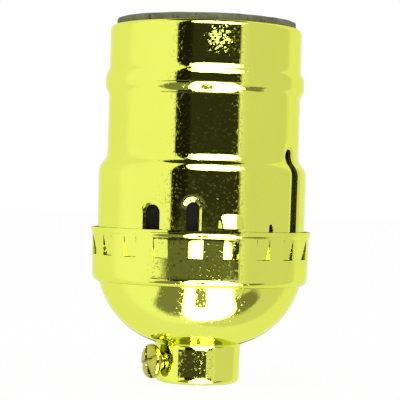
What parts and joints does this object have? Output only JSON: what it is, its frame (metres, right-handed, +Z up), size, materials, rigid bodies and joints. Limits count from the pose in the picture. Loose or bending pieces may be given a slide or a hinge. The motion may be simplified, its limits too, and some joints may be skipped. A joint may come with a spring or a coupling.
{
  "type": "lamp holder",
  "caption": "Keyless medium screw base lamp holder: polished brass shell and tabbed cap on a lined, pipe-threaded neck, with sprung centre contact and terminal screws.",
  "frame": {"origin": "centre of the cap's neck at its lower rim", "axes": "+Z up the axis to the lamp's mouth, -Y the front with the set screw to its left, +X to the right"},
  "size_m": [0.0368, 0.0368, 0.0605],
  "materials": {
    "polished_brass": "polished and lacquered, mirror bright, yellow-green cast",
    "screw_brass": "turned and bright dipped",
    "stamped_brass": "stamped, dull",
    "nickel_plate": "nickel plated",
    "plated_steel": "turned, zinc plated",
    "grey_fibre": "pressed vulcanised fibre, mottled",
    "moulded_phenolic": "moulded, satin",
    "rolled_aluminium": "rolled, bright"
  },
  "bodies": {
    "cap": {"cap": "polished_brass", "cap_liner": "grey_fibre", "threaded_bushing": "plated_steel"},
    "set_screw": {"set_screw": "screw_brass"},
    "interior": {"terminal_block": "moulded_phenolic", "upper_insulator": "moulded_phenolic", "screw_shell": "rolled_aluminium", "line_terminal_plate": "stamped_brass", "neutral_terminal_plate": "stamped_brass", "contact_rivet": "stamped_brass", "body_rivet_front": "stamped_brass", "body_rivet_right": "stamped_brass", "body_rivet_left": "stamped_brass"},
    "line_screw": {"line_terminal_screw": "screw_brass"},
    "neutral_screw": {"neutral_terminal_screw": "nickel_plate"},
    "contact": {"centre_contact": "stamped_brass"},
    "shell": {"outer_shell": "polished_brass", "shell_liner": "grey_fibre"}
  },
  "joints": [
    {"name": "interior_lift", "type": "slide", "parent": "cap", "child": "interior", "axis": [0, 0, 1], "range_m": [0, 0.014]},
    {"name": "shell_lift", "type": "slide", "parent": "interior", "child": "shell", "axis": [0, 0, 1], "range_m": [0, 0.045]},
    {"name": "set_screw_turn", "type": "hinge", "parent": "cap", "child": "set_screw", "pos_m": [-0.00606, -0.0035, 0.0036], "axis": [-0.866, -0.5, 0], "continuous": true},
    {"name": "line_screw_turn", "type": "hinge", "parent": "interior", "child": "line_screw", "pos_m": [0.012, 0, 0.0242], "axis": [1, 0, 0], "continuous": true},
    {"name": "neutral_screw_turn", "type": "hinge", "parent": "interior", "child": "neutral_screw", "pos_m": [-0.012, 0, 0.0242], "axis": [-1, 0, 0], "continuous": true},
    {"name": "contact_press", "type": "slide", "parent": "interior", "child": "contact", "axis": [0, 0, 1], "range_m": [-0.0015, 0], "stiffness_N_per_m": 1500, "deforming": ["centre_contact"]}
  ]
}
